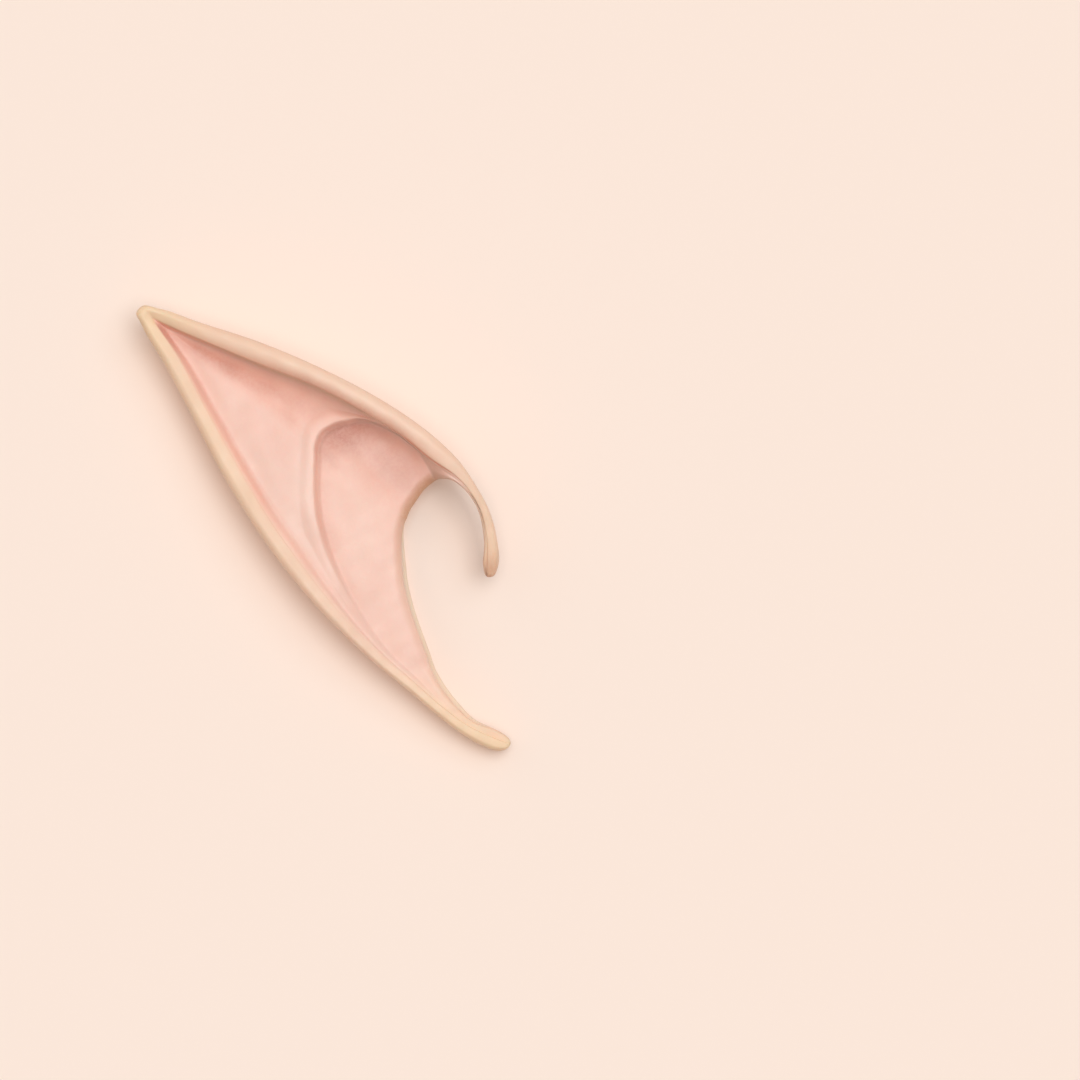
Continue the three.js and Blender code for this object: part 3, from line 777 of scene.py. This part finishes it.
    def _paint_ends(self, paint: dict[Paint, Array]) -> None:
        """Add the sand colour of the tip, the hook, the band and the tail, and the painted tan and edge
        shade of the hook's end.

        Args:
            paint: The painted shades of all blocks, which it changes.
        """
        where = self.map
        outer = 1.0 - paint[Paint.INSIDE]
        tip = hill(self.along, self.knots[TIP_RIB] + where.tip_past, where.tip_half)
        band = hill(self.along, self.knots[TIP_RIB] + where.band_past, where.band_half) * where.band_share
        tail = smooth(1.0 - (self.knots[-1] - self.along) / where.tail_length)
        hook = smooth(1.0 - self.along / where.hook_length) * where.hook_share
        ends = np.maximum(np.maximum(tip, hook), np.maximum(tail, band))
        clear = 1.0 - np.clip(paint[Paint.PAINTED_SHADE] * where.shade_clear, 0, 1)
        paint[Paint.SAND] = ends * outer * (1.0 - paint[Paint.BLUSH]) * clear
        # Painted tan and edge shade darkening the hook's end.
        end = smooth(1.0 - self.along / where.end_length) * outer
        paint[Paint.TAN] = np.maximum(paint[Paint.TAN], end * where.end_tan_shade)
        paint[Paint.EDGE] = np.maximum(paint[Paint.EDGE], end * where.end_edge_shade)


def fill_inputs(node: bpy.types.Node, values: dict[str, object]) -> None:
    """Set a node's inputs by name."""
    for name, value in values.items():
        node.inputs[name].default_value = value


def new_object(name: str, data: bpy.types.ID) -> bpy.types.Object:
    """Make an object and link it to the scene."""
    made = bpy.data.objects.new(name, data)
    bpy.context.scene.collection.objects.link(made)
    return made


@dataclass
class NodeSketch:
    """A small helper that places shader nodes in a tree and links them."""

    tree: bpy.types.NodeTree

    def node(self, kind: str, **settings: object) -> bpy.types.Node:
        """Add a node of a kind and set its own properties."""
        made = self.tree.nodes.new(kind)
        for name, value in settings.items():
            setattr(made, name, value)
        return made

    def join(self, source: Socket, target: Socket) -> None:
        """Link one socket to another."""
        self.tree.links.new(source, target)

    def maths(self, operation: str, *inputs: object, clamp: bool = False) -> Socket:
        """Add a Math node and return its result; inputs are sockets or numbers."""
        made = self.node("ShaderNodeMath", operation=operation, use_clamp=clamp)
        for socket, value in zip(made.inputs, inputs):
            if isinstance(value, Socket):
                self.join(value, socket)
            else:
                socket.default_value = value
        return made.outputs[0]

    def noise(self, vector: Socket, look: NoiseLook) -> Socket:
        """Add a noise texture over a vector and return its value."""
        made = self.node("ShaderNodeTexNoise")
        fill_inputs(made, dict(zip(("Scale", "Detail", "Roughness"), look)))
        self.join(vector, made.inputs["Vector"])
        return made.outputs["Fac"]

    def mix(self, share: Socket, first: object, second: object) -> Socket:
        """Mix two colours, each a socket or a colour, by a share."""
        made = self.node("ShaderNodeMix", data_type="RGBA")
        self.join(share, made.inputs["Factor"])
        for socket, value in zip((made.inputs[6], made.inputs[7]), (first, second)):
            if isinstance(value, Socket):
                self.join(value, socket)
            else:
                socket.default_value = (*value, 1.0)
        return made.outputs[2]

    def ramp(self, value: Socket, low: float, high: float) -> Socket:
        """Map a value smoothly so that low gives 0 and high gives 1."""
        made = self.node("ShaderNodeMapRange", interpolation_type="SMOOTHSTEP")
        fill_inputs(made, {"From Min": low, "From Max": high})
        self.join(value, made.inputs["Value"])
        return made.outputs["Result"]


def linear(red: int, green: int, blue: int) -> Colour:
    """Turn a display colour, 0 to 255, into scene-linear values."""
    shares = np.array([red, green, blue]) / 255.0
    low, high = shares / 12.92, ((shares + 0.055) / 1.055) ** 2.4
    return tuple(float(v) for v in np.where(shares <= 0.04045, low, high))


@dataclass(frozen=True)
class CastGrain:
    """The cast surface that every latex material uses: cloudiness, pores and sparse specks.

    Each noise has a scale, a detail and a roughness. A speck fades between two distances from
    its cell's middle, and only cells above the chance have one.
    """

    name: str = "cast_grain"
    cloud: NoiseLook = (95.0, 3.0, 0.55)
    grain: NoiseLook = (1500.0, 4.0, 0.6)
    pores: NoiseLook = (5200.0, 2.0, 0.5)
    pore_share: float = 0.4
    speck_scale: float = 90.0
    speck_edge: Pair = (0.022, 0.012)
    speck_chance: float = 0.82

    def group(self) -> bpy.types.NodeTree:
        """Build the node group, or return it if it is there already.

        Returns:
            The group, with outputs Cloud, Grain and Speck.
        """
        found = bpy.data.node_groups.get(self.name)
        if found:
            return found
        tree = bpy.data.node_groups.new(self.name, "ShaderNodeTree")
        for output in ("Cloud", "Grain", "Speck"):
            tree.interface.new_socket(output, in_out="OUTPUT", socket_type="NodeSocketFloat")
        strength = tree.interface.new_socket("Pores", in_out="INPUT", socket_type="NodeSocketFloat")
        strength.default_value = self.pore_share
        sketch = NodeSketch(tree)
        entry = sketch.node("NodeGroupInput")
        exit_ = sketch.node("NodeGroupOutput")
        place = sketch.node("ShaderNodeTexCoord").outputs["Object"]
        cloud = sketch.noise(place, self.cloud)
        grain = sketch.noise(place, self.grain)
        pores = sketch.noise(place, self.pores)
        pored = sketch.maths("MULTIPLY", pores, entry.outputs["Pores"])
        sketch.join(cloud, exit_.inputs["Cloud"])
        sketch.join(sketch.maths("ADD", grain, pored), exit_.inputs["Grain"])
        cells = sketch.node("ShaderNodeTexVoronoi")
        fill_inputs(cells, {"Scale": self.speck_scale})
        sketch.join(place, cells.inputs["Vector"])
        near = sketch.ramp(cells.outputs["Distance"], *self.speck_edge)
        lottery = sketch.node("ShaderNodeSeparateColor")
        sketch.join(cells.outputs["Color"], lottery.inputs["Color"])
        chosen = sketch.maths("GREATER_THAN", lottery.outputs[0], self.speck_chance)
        sketch.join(sketch.maths("MULTIPLY", near, chosen), exit_.inputs["Speck"])
        return tree


@dataclass(frozen=True)
class Coat:
    """One coat of colour over the flesh: the share on the mesh that says where, its colour and its strength.
    """

    paint: Paint
    colour: Colour
    strength: float
    cloudy: bool = False


@dataclass(frozen=True)
class LatexFinish:
    """Flesh-coloured satin latex with its airbrushed pink face and sand-yellow ends, painted shade in the
    hollows, at the lips and the hook's end, and painted highlights on the crests.
    """

    name: str = "latex_skin"
    flesh: Colour = linear(247, 210, 186)
    raw: Colour = linear(243, 216, 190)
    stain: Colour = linear(200, 138, 122)
    speck: Colour = linear(176, 128, 108)
    coats: tuple[Coat, ...] = (
        Coat(Paint.BLUSH, linear(248, 204, 188), 0.9),
        # Painted warm shade.
        Coat(Paint.PAINTED_WARM_SHADE, linear(250, 176, 150), 1.0),
        # Painted shade, clouded.
        Coat(Paint.PAINTED_SHADE, linear(200, 138, 122), 0.85, cloudy=True),
        Coat(Paint.SAND, linear(245, 213, 174), 0.9),
        # Painted tan shade.
        Coat(Paint.TAN, linear(232, 184, 154), 0.75),
        # Painted edge shade.
        Coat(Paint.EDGE, linear(206, 150, 112), 1.0),
        # Painted highlight.
        Coat(Paint.PAINTED_HIGHLIGHT, linear(253, 215, 200), 0.55),
        Coat(Paint.THIN, linear(253, 215, 200), 0.35),
        Coat(Paint.INSIDE, linear(243, 216, 190), 1.0),
    )
    cloud_range: Pair = (0.32, 0.68)
    cloud_coat: Pair = (0.3, 0.8)
    cloud_stain: float = 0.07
    mottle_range: Pair = (0.55, 0.85)
    mottle_share: float = 0.16
    speck_share: float = 0.6
    roughness: Pair = (0.12, 0.44)
    bump_strength: float = 0.35
    bump_distance: float = 0.00012
    inner_light: float = 0.4
    inner_radius: Colour = (1.0, 0.68, 0.55)
    inner_scale: float = 0.0012
    specular: float = 0.42
    grain: CastGrain = field(default_factory=CastGrain)

    def _colour(self, sketch: NodeSketch, surface: bpy.types.Node, cloud: Socket) -> Socket:
        """Lay every coat over the flesh colour, then the mottle, the stain and the specks.

        Args:
            sketch: The material's tree.
            surface: The cast grain's node.
            cloud: The soft clouds' share.

        Returns:
            The colour.
        """
        colour = self.flesh
        uneven = sketch.maths("MULTIPLY_ADD", cloud, *self.cloud_coat)
        for coat in self.coats:
            read = sketch.node("ShaderNodeAttribute", attribute_name=coat.paint.value)
            share = sketch.maths("MULTIPLY", read.outputs["Fac"], coat.strength, clamp=True)
            if coat.cloudy:
                share = sketch.maths("MULTIPLY", share, uneven, clamp=True)
            colour = sketch.mix(share, colour, coat.colour)
        mottle = sketch.ramp(surface.outputs["Grain"], *self.mottle_range)
        colour = sketch.mix(sketch.maths("MULTIPLY", mottle, self.mottle_share), colour, self.raw)
        colour = sketch.mix(sketch.maths("MULTIPLY", cloud, self.cloud_stain), colour, self.stain)
        specks = sketch.maths("MULTIPLY", surface.outputs["Speck"], self.speck_share)
        return sketch.mix(specks, colour, self.speck)

    def material(self) -> bpy.types.Material:
        """Build the latex material.

        Returns:
            The material, with its colour from the painted shades and its bump from the grain.
        """
        made = bpy.data.materials.new(self.name)
        made.use_nodes = True
        made.node_tree.nodes.clear()
        sketch = NodeSketch(made.node_tree)
        shader = sketch.node("ShaderNodeBsdfPrincipled")
        output = sketch.node("ShaderNodeOutputMaterial")
        sketch.join(shader.outputs[0], output.inputs[0])
        surface = sketch.node("ShaderNodeGroup", node_tree=self.grain.group())
        cloud = sketch.ramp(surface.outputs["Cloud"], *self.cloud_range)
        sketch.join(self._colour(sketch, surface, cloud), shader.inputs["Base Color"])
        rough = sketch.maths("MULTIPLY_ADD", cloud, *self.roughness)
        sketch.join(rough, shader.inputs["Roughness"])
        bump = sketch.node("ShaderNodeBump")
        fill_inputs(bump, {"Strength": self.bump_strength, "Distance": self.bump_distance})
        sketch.join(surface.outputs["Grain"], bump.inputs["Height"])
        sketch.join(bump.outputs[0], shader.inputs["Normal"])
        fill_inputs(shader, {
            "Subsurface Weight": self.inner_light,
            "Subsurface Radius": self.inner_radius,
            "Subsurface Scale": self.inner_scale,
            "Specular IOR Level": self.specular,
        })
        return made


@dataclass
class EarSkin:
    """The latex ear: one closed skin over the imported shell."""

    form: EarForm = field(default_factory=EarForm)
    finish: LatexFinish = field(default_factory=LatexFinish)
    name: str = "ear_skin"

    def _faces(self, ribs: int, size: int) -> Array:
        """Return the quads between neighbouring ribs, closed round every section."""
        rib, point = np.meshgrid(np.arange(ribs - 1), np.arange(size), indexing="ij")
        here = rib * size
        after = (point + 1) % size
        quads = np.stack([here + point, here + after, here + size + after, here + size + point], axis=-1)
        return quads.reshape(-1, 4)

    def _caps(self, ribs: int, size: int) -> Array:
        """Return the triangles that close both ends, round two points after the ribs' own."""
        around = np.arange(size)
        after = (around + 1) % size
        last_row = (ribs - 1) * size
        first = np.stack([np.full(size, ribs * size), after, around], axis=1)
        last = np.stack([np.full(size, ribs * size + 1), last_row + around, last_row + after], axis=1)
        return np.vstack([first, last])

    def _placed(self, points: Array) -> Array:
        """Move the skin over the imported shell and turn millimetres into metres."""
        low, high = (np.array(corner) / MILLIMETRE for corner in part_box(NODE))
        flat = points.reshape(-1, 3)
        shift = (low + high) / 2 - (flat.min(axis=0) + flat.max(axis=0)) / 2
        shift[2] = low[2] - flat[:, 2].min()
        return (flat + shift) * MILLIMETRE

    def build(self) -> bpy.types.Object:
        """Build the skin's mesh, its painted shades and its material.

        Returns:
            The skin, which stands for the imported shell.
        """
        points, paint = self.form.surface()
        ribs, size = points.shape[:2]
        skin = self._placed(points)
        caps = np.vstack([skin[:size].mean(axis=0), skin[-size:].mean(axis=0)])
        faces = self._faces(ribs, size).tolist() + self._caps(ribs, size).tolist()
        mesh = bpy.data.meshes.new(self.name)
        mesh.from_pydata(np.vstack([skin, caps]).tolist(), [], faces)
        for shade in Paint:
            values = np.concatenate([paint[shade].ravel(), [0.0, 0.0]]).astype(np.float32)
            mesh.attributes.new(shade.value, "FLOAT", "POINT").data.foreach_set("value", values)
        mesh.polygons.foreach_set("use_smooth", np.ones(len(mesh.polygons), bool))
        mesh.update()
        mesh.materials.append(self.finish.material())
        made = new_object(self.name, mesh)
        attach(made, BODY)
        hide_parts(NODE)
        log.info("%s: %d ribs of %d points", self.name, ribs, size)
        return made


@dataclass(frozen=True)
class PhotoView:
    """How the photograph lies over the ear: its scale, turn and middle, in the ear's frame."""

    field_width: float = 0.2263
    turn: float = math.radians(-40.715)
    middle: Pair = (0.02325, -0.03133)
    distance: float = 3.0
    sensor: float = 36.0
    clip_end: float = 20.0

    def direction(self, right: float, up: float) -> Pair:
        """Turn a direction in the picture into one along the surface."""
        cos, sin = math.cos(self.turn), math.sin(self.turn)
        return (right * cos - up * sin, right * sin + up * cos)

    def camera(self) -> bpy.types.Object:
        """Build the camera straight above the surface.

        Returns:
            The camera, set as the scene's.
        """
        data = bpy.data.cameras.new("camera")
        data.sensor_width = self.sensor
        data.sensor_fit = "HORIZONTAL"
        data.lens = self.sensor * self.distance / self.field_width
        data.clip_end = self.clip_end
        made = new_object("camera", data)
        made.location = (*self.middle, self.distance)
        made.rotation_euler = (0.0, 0.0, self.turn)
        bpy.context.scene.camera = made
        return made


@dataclass(frozen=True)
class SoftSun:
    """A far soft light: the way it leans, its lean and spread in degrees, and its share of the light."""

    name: str
    right: float
    up: float
    lean: float
    spread: float
    share: Colour

    def build(self, view: PhotoView) -> bpy.types.Object:
        """Build the light, which leans along a direction in the picture's view."""
        most = max(self.share)
        data = bpy.data.lights.new(self.name, "SUN")
        data.angle = math.radians(self.spread)
        data.energy = math.pi * most / math.cos(math.radians(self.lean))
        data.color = tuple(part / most for part in self.share)
        dx, dy = view.direction(self.right, self.up)
        made = new_object(self.name, data)
        made.rotation_euler = (0.0, math.radians(self.lean), math.atan2(dy, dx))
        return made


@dataclass(frozen=True)
class Studio:
    """The plain pale surface and the soft light of the photograph."""

    floor_size: float = 6.0
    floor_colour: Colour = linear(253, 232, 218)
    floor_roughness: float = 0.95
    floor_specular: float = 0.1
    ambient: Colour = (0.31, 0.285, 0.265)
    suns: tuple[SoftSun, ...] = (
        SoftSun("fill", -0.8, 0.6, 48.0, 60.0, (0.06, 0.053, 0.05)),
        SoftSun("overhead", 0.75, 0.66, 8.0, 40.0, (0.44, 0.435, 0.43)),
        SoftSun("key", 0.75, 0.66, 26.0, 44.0, (0.175, 0.22, 0.25)),
    )

    def _floor_material(self) -> bpy.types.Material:
        """Build the floor's plain matt finish."""
        made = bpy.data.materials.new("floor_matt")
        made.use_nodes = True
        shader = made.node_tree.nodes["Principled BSDF"]
        fill_inputs(shader, {
            "Base Color": (*self.floor_colour, 1.0),
            "Roughness": self.floor_roughness,
            "Specular IOR Level": self.floor_specular,
        })
        return made

    def build(self, view: PhotoView) -> None:
        """Build the floor, the sky's even light and the soft suns.

        Args:
            view: The picture's view, which gives directions.
        """
        half = self.floor_size / 2
        corners = [(-half, -half, 0.0), (half, -half, 0.0), (half, half, 0.0), (-half, half, 0.0)]
        mesh = bpy.data.meshes.new("floor")
        mesh.from_pydata(corners, [], [(0, 1, 2, 3)])
        mesh.materials.append(self._floor_material())
        new_object("floor", mesh)
        world = bpy.data.worlds.new("studio")
        world.use_nodes = True
        background = world.node_tree.nodes["Background"]
        fill_inputs(background, {"Color": (*self.ambient, 1.0), "Strength": 1.0})
        bpy.context.scene.world = world
        for sun in self.suns:
            sun.build(view)
        log.info("studio: %d soft lights", len(self.suns))


def main() -> None:
    """Build the ear's skin, the studio and the camera, and set the view transform."""
    logging.basicConfig(level=logging.INFO, format="%(name)s %(message)s")
    view = PhotoView()
    EarSkin().build()
    Studio().build(view)
    view.camera()
    bpy.context.scene.view_settings.view_transform = "Standard"
    bpy.context.view_layer.update()


if __name__ == "__main__":
    main()
